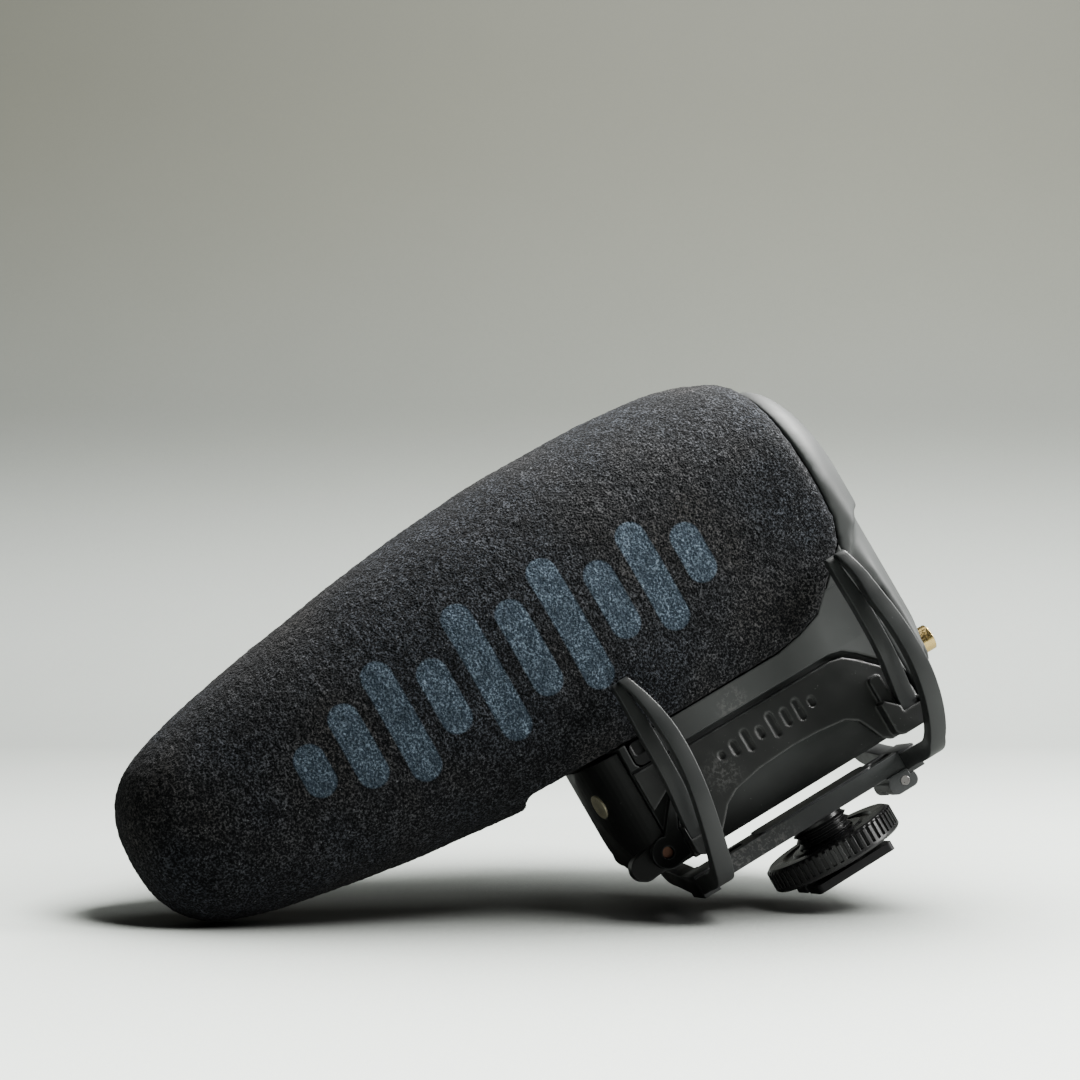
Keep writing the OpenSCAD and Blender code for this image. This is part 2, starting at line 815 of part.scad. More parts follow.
module capsule() {
    color([0.75, 0.72, 0.6]) union() {
        rod_x(4, 10, 0, tube_z, tube_r - 1.4);
        rod_x(3, 4.1, 0, tube_z, tube_r - 3);
    }
}

module interference_tube() {
    color([0.1, 0.1, 0.1]) difference() {
        rod_x(tube_nose_x, 26, 0, tube_z, tube_r);
        rod_x(tube_nose_x - 1, 27, 0, tube_z, tube_r - 1.2);
        for (i = [0:6]) translate([tube_nose_x + 6 + 14 * i, -20, tube_z - 1.1])
            cube([10, 40, 2.2]);
        for (i = [0:6]) translate([tube_nose_x + 6 + 14 * i, -1.1, tube_z])
            cube([10, 2.2, 20]);
    }
}

module tube_grille() {
    color([0.4, 0.4, 0.42]) difference() {
        union() {
            rod_x(tube_nose_x - 1.4, tube_nose_x, 0, tube_z, tube_r);
            rod_x(tube_nose_x - 0.1, tube_nose_x + 2, 0, tube_z, tube_r - 1.25);
        }
        for (i = [0:5]) rotate_about_tube(60 * i)
            rod_x(tube_nose_x - 3, tube_nose_x + 4, 0, 5.2, 1.3);
        rod_x(tube_nose_x - 3, tube_nose_x + 4, 0, tube_z, 1.8);
    }
}

module rotate_about_tube(a) {
    translate([0, 0, tube_z]) rotate([a, 0, 0]) children();
}

module rubber_rings() {
    color([0.03, 0.03, 0.03]) for (x = [12, 21]) difference() {
        rod_x(x, x + 4, 0, tube_z, 13.15);
        rod_x(x - 1, x + 5, 0, tube_z, tube_r + 0.05);
    }
}

// Foam: turned profile narrowed at the sides, open below and behind
module foam_windshield() {
    len_r = 29.4 - foam_nose_x;
    prof = [[0, 0], [0.4, 5], [1.5, 9.2], [4, 13.6], [8, 17.5], [15.5, 20.6], [31, 24.4],
            [51, 27.8], [69, 30.4], [88, 32.4], [104, 33.5], [122, 33.4], [136, 32.6],
            [146, 30.8], [152, 28.2], [len_r - 1.2, 26.6], [len_r - 0.3, 25.2]];
    scale_r = foam_r / 33.5;
    color([0.03, 0.035, 0.045]) difference() {
        intersection() {
            translate([foam_nose_x, 0, tube_z]) rotate([0, 90, 0]) rotate_extrude()
                polygon(concat([for (p = prof) [p[1] * scale_r, p[0]]],
                               [[0, len_r - 0.3]]));
            linear_extrude(top_z) foam_plan();
            intersection_for (s = [-1, 1])
                rod_x(foam_nose_x - 1, 40, s * (flank_r - foam_half_w), flank_z, flank_r);
        }
        along_y(-40, 80) hem_region(0.3);
        translate([-52, -40, 30]) cube([30, 80, deck_z + 0.3 - 30]);
        rod_x(tube_nose_x - 2, 40, 0, tube_z, tube_r + 0.6);
        intersection() {
            body_outer(spigot_inset - 0.3);
            translate([spigot_x - 0.5, -40, deck_z]) cube([40, 80, top_z]);
        }
    }
}

module foam_plan() {
    polygon([[foam_nose_x - 1, -17], [foam_nose_x + 6, -18.6], [foam_nose_x + 20, -20.6],
             [foam_nose_x + 40, -22.6], [foam_nose_x + 62, -24.6], [foam_nose_x + 90, -26],
             [40, -26], [40, 26], [foam_nose_x + 90, 26], [foam_nose_x + 62, 24.6],
             [foam_nose_x + 40, 22.6], [foam_nose_x + 20, 20.6], [foam_nose_x + 6, 18.6],
             [foam_nose_x - 1, 17]]);
}

shoe_foot();
thread_bushing();
threaded_stem();
clamp_washer();
lock_wheel();
mount_rail();
front_lyre();
rear_lyre();
cable_clip();
clip_pin();
body_shell();
rear_cap();
left_cradle();
right_cradle();
rear_panel();
power_button();
filter_button();
pad_button();
boost_button();
safety_button();
status_lamps();
output_jack();
usb_socket();
circuit_board();
tact_switches();
battery_pack();
battery_contacts();
battery_door();
front_dot();
hinge_pin();
left_latch();
right_latch();
capsule();
interference_tube();
tube_grille();
rubber_rings();
foam_windshield();
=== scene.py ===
"""On-camera shotgun microphone lying nose down on a pale floor."""

import json
import math

import bmesh
import bpy
import numpy as np
from mathutils import Matrix, Vector, noise


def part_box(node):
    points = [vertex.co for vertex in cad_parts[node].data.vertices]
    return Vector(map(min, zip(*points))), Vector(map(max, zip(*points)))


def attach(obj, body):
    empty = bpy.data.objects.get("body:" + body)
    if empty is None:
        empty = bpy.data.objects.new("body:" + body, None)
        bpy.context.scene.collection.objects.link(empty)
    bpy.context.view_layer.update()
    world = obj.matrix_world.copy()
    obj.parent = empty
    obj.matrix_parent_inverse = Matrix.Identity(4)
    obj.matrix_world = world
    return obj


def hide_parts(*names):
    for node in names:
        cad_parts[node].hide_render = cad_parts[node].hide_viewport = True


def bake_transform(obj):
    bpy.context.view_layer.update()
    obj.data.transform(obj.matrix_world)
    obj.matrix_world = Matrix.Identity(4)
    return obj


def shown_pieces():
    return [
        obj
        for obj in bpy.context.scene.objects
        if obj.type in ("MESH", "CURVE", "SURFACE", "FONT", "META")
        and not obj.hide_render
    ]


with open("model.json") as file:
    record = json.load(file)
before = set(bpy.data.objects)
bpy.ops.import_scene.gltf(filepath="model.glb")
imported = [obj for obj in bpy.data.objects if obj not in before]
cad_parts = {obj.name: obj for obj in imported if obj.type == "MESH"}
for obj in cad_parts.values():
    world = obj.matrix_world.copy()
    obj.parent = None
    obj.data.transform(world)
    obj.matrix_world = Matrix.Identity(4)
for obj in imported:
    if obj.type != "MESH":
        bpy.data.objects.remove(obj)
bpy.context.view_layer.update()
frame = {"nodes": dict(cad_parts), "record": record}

MM = 0.001
NODES = frame["nodes"]


def box_mm(node):
    low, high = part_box(node)
    return [v / MM for v in low], [v / MM for v in high]


# ---------------------------------------------------------------- node helpers


class Shader:
    """A material's node tree with short calls to add and join nodes."""

    def __init__(self, name):
        self.mat = bpy.data.materials.new(name)
        self.mat.use_nodes = True
        self.tree = self.mat.node_tree
        self.tree.nodes.clear()
        self.out = self.tree.nodes.new("ShaderNodeOutputMaterial")
        self.coord = self.add("TexCoord").outputs["Object"]

    def add(self, kind, settings=None, **inputs):
        node = self.tree.nodes.new("ShaderNode" + kind)
        for key, value in (settings or {}).items():
            setattr(node, key, value)
        for key, value in inputs.items():
            self.feed(node.inputs[key.replace("_", " ")], value)
        return node

    def feed(self, socket, value):
        if isinstance(value, bpy.types.NodeSocket):
            self.tree.links.new(value, socket)
        elif hasattr(socket.default_value, "__len__") and not hasattr(value, "__len__"):
            socket.default_value = [value] * len(socket.default_value)
        elif hasattr(value, "__len__") and len(value) == 3 and len(socket.default_value) == 4:
            socket.default_value = (*value, 1.0)
        else:
            socket.default_value = value

    def math(self, op, a, b=0.0, c=0.0, clamp=False):
        node = self.tree.nodes.new("ShaderNodeMath")
        node.operation = op
        node.use_clamp = clamp
        for socket, value in zip(node.inputs, (a, b, c)):
            self.feed(socket, value)
        return node.outputs[0]

    def mix(self, factor, a, b, blend="MIX"):
        node = self.tree.nodes.new("ShaderNodeMix")
        node.data_type = "RGBA"
        node.blend_type = blend
        self.feed(node.inputs[0], factor)
        self.feed(node.inputs[6], a)
        self.feed(node.inputs[7], b)
        return node.outputs[2]

    def ramp(self, value, low, high, to_low=0.0, to_high=1.0):
        node = self.tree.nodes.new("ShaderNodeMapRange")
        node.interpolation_type = "SMOOTHSTEP"
        for socket, v in zip(node.inputs, (value, low, high, to_low, to_high)):
            self.feed(socket, v)
        return node.outputs[0]

    def noise(self, size_mm, detail=2.0, rough=0.5, coord=None):
        node = self.add("TexNoise", Scale=1.0 / (size_mm * MM), Detail=detail, Roughness=rough)
        self.tree.links.new(coord or self.coord, node.inputs["Vector"])
        return node.outputs["Fac"]

    def cells(self, size_mm, feature="F1", output="Distance"):
        node = self.add("TexVoronoi", {"feature": feature}, Scale=1.0 / (size_mm * MM))
        self.tree.links.new(self.coord, node.inputs["Vector"])
        return node.outputs[output]

    def tint(self, color, factor):
        """Colour scaled by a value socket."""
        grey = self.add("CombineColor", Red=factor, Green=factor, Blue=factor).outputs[0]
        return self.mix(1.0, color, grey, "MULTIPLY")

    def distance_to(self, centre_mm):
        """Distance in metres from a place given in millimetres."""
        away = self.add("VectorMath", {"operation": "DISTANCE"})
        self.tree.links.new(self.coord, away.inputs[0])
        away.inputs[1].default_value = [c * MM for c in centre_mm]
        return away.outputs["Value"]

    def axes(self):
        return self.add("SeparateXYZ", Vector=self.coord).outputs

    def bump(self, height, depth_mm, normal=None):
        node = self.add("Bump", Strength=1.0, Distance=depth_mm * MM, Height=height)
        if normal is not None:
            self.tree.links.new(normal, node.inputs["Normal"])
        return node.outputs["Normal"]

    def finish(self, **inputs):
        bsdf = self.add("BsdfPrincipled", **inputs)
        self.tree.links.new(bsdf.outputs[0], self.out.inputs["Surface"])
        return self.mat


# Where the housing's painted shade fades out, in mm: upwards from the belly and backwards from the
# front
BELLY_PAINTED_SHADE = (22.0, 34.0)
FRONT_PAINTED_SHADE = (-36.0, -8.0)


def moulded(name, color, rough=0.5, grain_mm=0.25, grain_depth=0.012, edge_highlight=0.5,
            dust=0.3, round_mm=0.35, coat=0.0, specular=0.5, scuffs=(), painted_shade=False):
    """Moulded plastic: fine grain, rounded edges with a painted highlight that is patchy like
    wear, some dust and local scuffs.

    Each scuff is (centre in mm, radius in mm, strength). A moulding with painted shade is darker
    on its belly and towards its front, where shade falls under it and beside the foam, and it
    reflects less there."""
    s = Shader(name)
    bevel = s.add("Bevel", {"samples": 6}, Radius=round_mm * MM)
    geo = s.add("NewGeometry")
    facing = s.add("VectorMath", {"operation": "DOT_PRODUCT"})
    s.tree.links.new(bevel.outputs["Normal"], facing.inputs[0])
    s.tree.links.new(geo.outputs["Normal"], facing.inputs[1])
    # Painted highlight: rounded edges are lightened where the bevel normal turns away, in patches
    # like wear
    edge_wear_and_highlight = s.ramp(facing.outputs["Value"], 0.995, 0.86)
    edge_wear_and_highlight = s.math("MULTIPLY", edge_wear_and_highlight, s.ramp(s.noise(2.5, 3.0), 0.35, 0.7, 0.45, 1.0))
    base = s.tint(color, s.ramp(s.noise(18.0, 3.0), 0.3, 0.7, 0.80, 1.18))
    # Painted shade: darker and less reflective on the belly and towards the front, where shade
    # falls
    if painted_shade:
        x, _, z = s.axes()
        belly = s.ramp(z, BELLY_PAINTED_SHADE[0] * MM, BELLY_PAINTED_SHADE[1] * MM, 0.25, 1.0)
        front = s.ramp(x, FRONT_PAINTED_SHADE[0] * MM, FRONT_PAINTED_SHADE[1] * MM, 0.25, 1.0)
        stain_and_painted_shade = s.math("MULTIPLY", belly, front)
        base = s.tint(base, stain_and_painted_shade)
        specular = s.math("MULTIPLY", stain_and_painted_shade, specular)
    light = tuple(min(1.0, c * 2.6 + 0.07) for c in color)
    base = s.mix(s.math("MULTIPLY", edge_wear_and_highlight, edge_highlight), base, light)
    speck = s.ramp(s.noise(0.55, 1.0), 0.74, 0.8)
    speck = s.math("MULTIPLY", speck, s.ramp(s.noise(9.0, 2.0), 0.45, 0.65))
    base = s.mix(s.math("MULTIPLY", speck, dust), base, (0.26, 0.26, 0.25))
    rubbed = 0.0
    for centre, radius, strength in scuffs:
        near = s.ramp(s.distance_to(centre), radius * MM, 0.35 * radius * MM)
        patch = s.ramp(s.noise(0.9, 4.0, 0.75), 0.47, 0.62)
        patch = s.math("MULTIPLY", near, patch)
        rubbed = s.math("ADD", rubbed, s.math("MULTIPLY", patch, strength))
    base = s.mix(rubbed, base, (0.16, 0.16, 0.155))
    grain = s.noise(grain_mm, 3.0, 0.6)
    smear = s.ramp(s.noise(7.0, 4.0, 0.6), 0.3, 0.75, -0.06, 0.08)
    roughness = s.math("ADD", smear, s.math("ADD", rough, s.math("MULTIPLY", speck, 0.2)))
    roughness = s.math("ADD", roughness, s.math("MULTIPLY", rubbed, 0.25))
    normal = s.bump(grain, grain_depth, bevel.outputs["Normal"])
    return s.finish(Base_Color=base, Roughness=roughness, Normal=normal, Coat_Weight=coat,
                    Coat_Roughness=0.18, Specular_IOR_Level=specular)


def metal(name, color, rough=0.3, grain_mm=0.4, streak=(1, 1, 1), depth=0.004, metallic=1.0):
    """Metal with fine tool marks, small stains and softened edges."""
    s = Shader(name)
    bevel = s.add("Bevel", {"samples": 6}, Radius=0.2 * MM)
    mapped = s.add("Mapping", Vector=s.coord, Scale=streak).outputs[0]
    marks = s.noise(grain_mm, 4.0, 0.65, mapped)
    stain_and_painted_shade = s.ramp(s.noise(3.0, 3.0), 0.35, 0.75)
    dull = tuple(c * 0.62 for c in color)
    base = s.mix(s.math("MULTIPLY", stain_and_painted_shade, 0.6), color, dull)
    roughness = s.math("ADD", rough, s.ramp(marks, 0.3, 0.7, -0.08, 0.12))
    normal = s.bump(marks, depth, bevel.outputs["Normal"])
    return s.finish(Base_Color=base, Roughness=roughness, Metallic=metallic, Normal=normal)


# ---------------------------------------------------------------- materials

def level_bars(s, across, up, count, pitch, thick, heights):
    """Mask of a row of rounded upright bars, like a sound level display, centred on 0."""
    total = None
    for i in range(count):
        x = s.math("SUBTRACT", across, (i - (count - 1) / 2) * pitch)
        over = s.math("MAXIMUM", s.math("SUBTRACT", s.math("ABSOLUTE", up),
                                        heights[i] / 2 - thick / 2), 0.0)
        d = s.math("SQRT", s.math("ADD", s.math("MULTIPLY", x, x),
                                  s.math("MULTIPLY", over, over)))
        bar = s.ramp(d, thick / 2 + 0.25, thick / 2 - 0.25)
        total = bar if total is None else s.math("MAXIMUM", total, bar)
    return total


MARK_CENTRE = (-44.0, 74.0)
MARK_PITCH = 9.6
MARK_THICK = 6.2
MARK_HEIGHTS = (11, 18, 26, 16, 30, 21, 29, 17, 24, 13)

# Foam colours with painted light: shade inside the pores, lit strut ends and glints; the print
# likewise deep in pores and lit on struts
PORE_SHADE_COLOR = (0.0022, 0.0026, 0.0036)
STRUT_WARM = (0.070, 0.067, 0.066)
STRUT_COOL = (0.062, 0.069, 0.083)
GLINT_COLOR = (0.24, 0.25, 0.26)
INK_DEEP = (0.030, 0.044, 0.062)
INK_LIT = (0.155, 0.205, 0.260)


def foam_material(name, printed):
    """Open-cell foam: the foam's black with painted shade in the pores, strut ends painted as lit,
    stray painted glints and an optional print.
    """
    s = Shader(name)
    grain = s.noise(0.42, 2.0, 0.65)
    pores = s.cells(0.62, "F1")
    # Painted light: strut ends lit, pores in shade
    lit = s.math("ADD", s.math("MULTIPLY", grain, 1.0), s.math("MULTIPLY", pores, 0.28))
    lit = s.ramp(lit, 0.58, 0.86)
    glint = s.ramp(s.noise(0.5, 1.0), 0.70, 0.80)
    blotch = s.ramp(s.noise(3.2, 3.0, 0.6), 0.32, 0.68, 0.55, 1.25)
    broad = s.ramp(s.noise(30.0, 3.0), 0.35, 0.65)
    strut_color = s.mix(broad, STRUT_WARM, STRUT_COOL)
    base = s.mix(lit, PORE_SHADE_COLOR, s.tint(strut_color, blotch))
    base = s.mix(s.math("MULTIPLY", glint, 0.55), base, GLINT_COLOR)
    if printed:
        x, y, z = (s.math("DIVIDE", a, MM) for a in s.axes())
        mask = level_bars(s, s.math("SUBTRACT", x, MARK_CENTRE[0]),
                          s.math("SUBTRACT", z, MARK_CENTRE[1]),
                          len(MARK_HEIGHTS), MARK_PITCH, MARK_THICK, MARK_HEIGHTS)
        mask = s.math("MULTIPLY", mask, s.math("LESS_THAN", y, 0.0))
        ink = s.mix(lit, INK_DEEP, s.tint(INK_LIT, blotch))
        ink = s.mix(s.math("MULTIPLY", glint, 0.5), ink, (0.30, 0.37, 0.43))
        patchy = s.ramp(s.noise(0.7, 3.0, 0.7), 0.28, 0.40, 0.30, 1.0)
        base = s.mix(s.math("MULTIPLY", mask, patchy), base, ink)
    height = s.math("SUBTRACT", s.math("MULTIPLY", grain, 1.0), s.math("MULTIPLY", pores, 0.3))
    normal = s.bump(height, 0.45)
    return s.finish(Base_Color=base, Roughness=0.85, Normal=normal, Sheen_Weight=0.04,
                    Sheen_Roughness=0.5, Specular_IOR_Level=0.12)


def board_material():
    s = Shader("board")
    tracks = s.ramp(s.cells(2.2, "DISTANCE_TO_EDGE"), 0.05, 0.09)
    base = s.mix(tracks, (0.03, 0.20, 0.09), (0.012, 0.11, 0.05))
    return s.finish(Base_Color=base, Roughness=s.ramp(tracks, 0, 1, 0.35, 0.5),
                    Normal=s.bump(tracks, 0.03))


def lamp_material():
    s = Shader("lamp")
    swirl = s.ramp(s.noise(0.5, 2.0), 0.3, 0.7)
    base = s.mix(swirl, (0.10, 0.42, 0.18), (0.16, 0.55, 0.26))
    return s.finish(Base_Color=base, Roughness=0.15, Transmission_Weight=0.35,
                    Normal=s.bump(s.noise(0.4), 0.01))


GROOVE_SCRATCH = (-8.0, -20.5, 43.5)
CHEEK_SMUDGE = (-17.0, -23.0, 33.0)
RAIL_FRONT = (-17.0, -5.0, 12.0)

MATERIALS = {
    "black_metal": metal("black_metal", (0.011, 0.011, 0.012), 0.42, 0.3, metallic=0.4),
    "bushing_steel": metal("bushing_steel", (0.62, 0.60, 0.57), 0.32, 0.5, (1, 1, 9)),
    "black_gloss": moulded("black_gloss", (0.014, 0.014, 0.0145), 0.27, 0.35, 0.006,
                           edge_highlight=0.6, dust=0.25, round_mm=0.25),
    "door_satin": moulded("door_satin", (0.0045, 0.005, 0.005), 0.46, 0.3, 0.008, edge_highlight=0.5,
                          dust=0.25, round_mm=0.5, specular=0.35),
    "rubber_black": moulded("rubber_black", (0.012, 0.012, 0.012), 0.75, 0.3, 0.02),
    "rail_plastic": moulded("rail_plastic", (0.050, 0.053, 0.054), 0.42, 0.6, 0.05,
                            edge_highlight=1.0, dust=0.4, scuffs=[(RAIL_FRONT, 14.0, 0.9)]),
    "spring_plastic": moulded("spring_plastic", (0.027, 0.029, 0.029), 0.42, 0.2, 0.008,
                              edge_highlight=0.35, dust=0.15, round_mm=0.35),
    "pin_steel": metal("pin_steel", (0.46, 0.44, 0.43), 0.34, 0.4, (1, 8, 1)),
    "pin_bronze": metal("pin_bronze", (0.16, 0.085, 0.06), 0.42, 0.4, (1, 8, 1)),
    "housing": moulded("housing", (0.054, 0.058, 0.057), 0.56, 0.22, 0.010, edge_highlight=0.3,
                       dust=0.25, round_mm=0.6, scuffs=[(GROOVE_SCRATCH, 5.0, 0.5)],
                       painted_shade=True),
    "cheek_plastic": moulded("cheek_plastic", (0.0115, 0.0125, 0.012), 0.42, 0.3, 0.014,
                             edge_highlight=1.0, dust=0.35, round_mm=0.8,
                             scuffs=[(CHEEK_SMUDGE, 6.0, 0.35)]),
    "panel_gloss": moulded("panel_gloss", (0.008, 0.008, 0.009), 0.16, 0.5, 0.002,
                           edge_highlight=0.3, dust=0.3, coat=0.5),
    "key_rubber": moulded("key_rubber", (0.040, 0.041, 0.042), 0.62, 0.25, 0.012),
    "lamp": lamp_material(),
    "gilt": metal("gilt", (0.85, 0.62, 0.25), 0.22, 0.4),
    "board": board_material(),
    "battery_case": moulded("battery_case", (0.09, 0.09, 0.10), 0.45),
    "dot_gold": metal("dot_gold", (0.80, 0.74, 0.52), 0.34, 0.5, metallic=0.75),
    "capsule_metal": metal("capsule_metal", (0.55, 0.54, 0.50), 0.35, 0.4, (8, 1, 1)),
    "tube_black": metal("tube_black", (0.025, 0.025, 0.026), 0.5, 0.3, metallic=0.3),
    "foam": foam_material("foam", False),
    "foam_printed": foam_material("foam_printed", True),
}

SLOT_OF = {p["node"]: p["material_slot"] for p in frame["record"]["subparts"]}
OWN_FINISH = {"battery_door": "door_satin", "hinge_pin": "pin_bronze", "left_latch": "door_satin",
              "right_latch": "door_satin"}

for node_name, obj in NODES.items():
    for slot in obj.material_slots:
        slot.material = MATERIALS[OWN_FINISH.get(node_name, SLOT_OF[node_name])]

# ---------------------------------------------------------------- mesh helpers


def new_object(name, verts, faces, material, slot):
    mesh = bpy.data.meshes.new(name)
    mesh.from_pydata([tuple(c * MM for c in v) for v in verts], [], faces)
    mesh.validate()
    mesh.materials.append(MATERIALS[material])
    obj = bpy.data.objects.new(name, mesh)
    bpy.context.scene.collection.objects.link(obj)
    return obj


def apply_modifiers(obj):
    depsgraph = bpy.context.evaluated_depsgraph_get()
    mesh = bpy.data.meshes.new_from_object(obj.evaluated_get(depsgraph))
    obj.modifiers.clear()
    obj.data = mesh


def tidy_normals(obj):
    bm = bmesh.new()
    bm.from_mesh(obj.data)
    bmesh.ops.recalc_face_normals(bm, faces=bm.faces)
    bm.to_mesh(obj.data)
    bm.free()


def catmull(points, per_span):
    """Smooth curve through all points but the first and last."""
    out = []
    for a, b, c, d in zip(points, points[1:], points[2:], points[3:]):
        for k in range(per_span):
            t = k / per_span
            out.append([0.5 * (2 * q + (r - p) * t + (2 * p - 5 * q + 4 * r - w) * t * t
                               + (3 * q - p - 3 * r + w) * t ** 3)
                        for p, q, r, w in zip(a, b, c, d)])
    out.append(list(points[-2]))
    return out


# ---------------------------------------------------------------- foam windshield

FOAM_LOW, FOAM_HIGH = box_mm("foam_windshield")
TUBE_LOW, TUBE_HIGH = box_mm("interference_tube")
AXIS_Z = (TUBE_LOW[2] + TUBE_HIGH[2]) / 2
TUBE_R = (TUBE_HIGH[2] - TUBE_LOW[2]) / 2
FOAM_NOSE = FOAM_LOW[0]
FOAM_REAR = FOAM_HIGH[0]
HEM_Z = 48.0

# distance behind the nose, radius above the axis, radius below it, half width, squareness below
FOAM_STATIONS = [
    (0.0, 0.0, 0.0, 0.0, 2.0),
    (0.35, 5.0, 5.0, 4.8, 2.0),
    (1.5, 9.4, 9.4, 9.0, 2.05),
    (4.0, 13.8, 13.9, 12.9, 2.1),
    (8.0, 17.3, 17.5, 16.0, 2.15),
    (15.5, 20.3, 20.6, 18.4, 2.2),
    (31.0, 24.1, 24.4, 20.6, 2.3),
    (51.0, 27.7, 27.7, 22.8, 2.4),
    (69.0, 30.6, 29.8, 24.3, 2.7),
    (88.0, 32.5, 32.0, 25.4, 3.1),
    (104.0, 33.5, 34.0, 25.8, 3.4),
    (122.0, 33.3, 35.0, 25.8, 3.4),
    (136.0, 32.3, 35.0, 25.6, 3.4),
    (146.0, 30.2, 34.0, 25.4, 3.4),
    (152.0, 27.7, 33.0, 25.2, 3.4),
    (154.8, 25.6, 32.0, 24.7, 3.4),
    (156.0, 23.4, 30.0, 23.6, 3.4),
]
HEM_OUTLINE = [(-53.0, 20.0), (-53.0, HEM_Z - 0.4), (-51.6, HEM_Z), (5.0, HEM_Z),
               (10.6, 48.9), (16.0, 50.6), (22.6, 57.0), (27.0, 61.2), (28.7, 66.0),
               (29.1, 72.0), (29.1, 125.0), (60.0, 125.0), (60.0, 20.0)]


def interpolate(x, column):
    """Smooth monotone reading of a station column."""
    xs = np.array([row[0] for row in FOAM_STATIONS])
    ys = np.array([row[column] for row in FOAM_STATIONS])
    slopes = np.diff(ys) / np.diff(xs)
    tangent = np.zeros_like(ys)
    for i in range(1, len(xs) - 1):
        if slopes[i - 1] * slopes[i] > 0:
            tangent[i] = 2 * slopes[i - 1] * slopes[i] / (slopes[i - 1] + slopes[i])
    tangent[0], tangent[-1] = slopes[0], slopes[-1]
    i = int(np.clip(np.searchsorted(xs, x) - 1, 0, len(xs) - 2))
    h = xs[i + 1] - xs[i]
    t = (x - xs[i]) / h
    return float((2 * t ** 3 - 3 * t ** 2 + 1) * ys[i] + (t ** 3 - 2 * t ** 2 + t) * h * tangent[i]
                 + (3 * t ** 2 - 2 * t ** 3) * ys[i + 1] + (t ** 3 - t ** 2) * h * tangent[i + 1])


def section_point(angle, top, bottom, half, square):
    """Point of the foam's cross section: angle 0 at the side, 90 degrees at the top."""
    c, s = math.cos(angle), math.sin(angle)
    power = 2 / (2.15 if s >= 0 else square)
    blend = 2 / 2.15 + (power - 2 / 2.15) * min(1.0, abs(s) * 2.5)
    y = half * math.copysign(abs(c) ** blend, c)
    z = (top if s >= 0 else bottom) * math.copysign(abs(s) ** blend, s)
    return y, z


def foam_hull():
    """Closed outer shape of the foam before it is cut."""
    around = 96
    behind = [0.05, 0.2, 0.5, 1.0, 1.8, 3.0, 4.6, 6.6, 9.0]
    length = FOAM_STATIONS[-1][0]
    behind += list(np.arange(12.0, length - 6.0, 3.0))
    behind += [length - d for d in (4.5, 3, 2, 1.2, 0.6, 0)]
    scale = (FOAM_REAR - FOAM_NOSE) / length
    verts = [(FOAM_NOSE, 0, AXIS_Z)]
    for d in behind:
        top, bottom, half, square = (interpolate(d, c) for c in range(1, 5))
        for k in range(around):
            y, z = section_point(2 * math.pi * k / around, top, bottom, half, square)
            verts.append((FOAM_NOSE + d * scale, y, AXIS_Z + z))
    last = len(verts)
    verts.append((FOAM_REAR, 0, AXIS_Z))
    faces = []
    for k in range(around):
        n = (k + 1) % around
        faces.append((0, 1 + n, 1 + k))
        for r in range(len(behind) - 1):
            a = 1 + r * around
            faces.append((a + k, a + n, a + around + n, a + around + k))
        b = 1 + (len(behind) - 1) * around
        faces.append((b + k, b + n, last))
    return verts, faces


def prism(name, outline, y0, y1):
    """Solid with an [x, z] outline, between two values of y."""
    n = len(outline)
    verts = [(x, y0, z) for x, z in outline] + [(x, y1, z) for x, z in outline]
    faces = [tuple(range(n)), tuple(range(2 * n - 1, n - 1, -1))]
    faces += [(i, i + n, (i + 1) % n + n, (i + 1) % n) for i in range(n)]
    obj = new_object(name, verts, faces, "foam", "foam")
    tidy_normals(obj)
    return obj


def tunnel(name, x0, x1, section):
    """Solid with a [y, z] section, between two values of x."""
    n = len(section)
    verts = [(x0, y, z) for y, z in section] + [(x1, y, z) for y, z in section]
    faces = [tuple(range(n)), tuple(range(2 * n - 1, n - 1, -1))]
    faces += [(i, (i + 1) % n, (i + 1) % n + n, i + n) for i in range(n)]
    obj = new_object(name, verts, faces, "foam", "foam")
    tidy_normals(obj)
    return obj


def cut(obj, cutter):
    mod = obj.modifiers.new("cut", "BOOLEAN")
    mod.operation = "DIFFERENCE"
    mod.object = cutter
    mod.solver = "EXACT"
    apply_modifiers(obj)
    bpy.data.objects.remove(cutter)


def spigot_section():
    """Section of the housing's neck under the foam, with a small clearance."""
    radius, centre, foot, waist = 21.5, 74.5, 40.0, 17.4
    arc = [(radius * math.cos(a), centre + radius * math.sin(a))
           for a in np.linspace(0, math.pi, 41)]
    return arc + [(-waist, foot), (waist, foot)]


def foam_relief(mesh, amount_mm):
    """Moves every point along its normal by cell-sized noise, with slow swells below it."""
    n = len(mesh.vertices)
    co = np.empty(n * 3)
    no = np.empty(n * 3)
    mesh.vertices.foreach_get("co", co)
    mesh.vertex_normals.foreach_get("vector", no)
    co, no = co.reshape(-1, 3), no.reshape(-1, 3)
    shift = np.empty(n)
    cell = 1.0 / (1.15 * MM)
    swell = 1.0 / (14.0 * MM)
    for i in range(n):
        p = Vector(co[i])
        fine = noise.noise(p * cell) + 0.6 * noise.noise(p * cell * 2.1)
        shift[i] = amount_mm * fine + 0.22 * noise.noise(p * swell)
    co += no * (shift * MM)[:, None]
    mesh.vertices.foreach_set("co", co.ravel())
    mesh.update()


BORE_GAP = 0.6
BORE_FRONT_X = TUBE_LOW[0] - 2.2
NECK_FRONT_X = 9.3
BEHIND_X = 60
BESIDE_Y = 45
FOAM_VOXEL = 0.5
CELL_DEPTH = 0.16


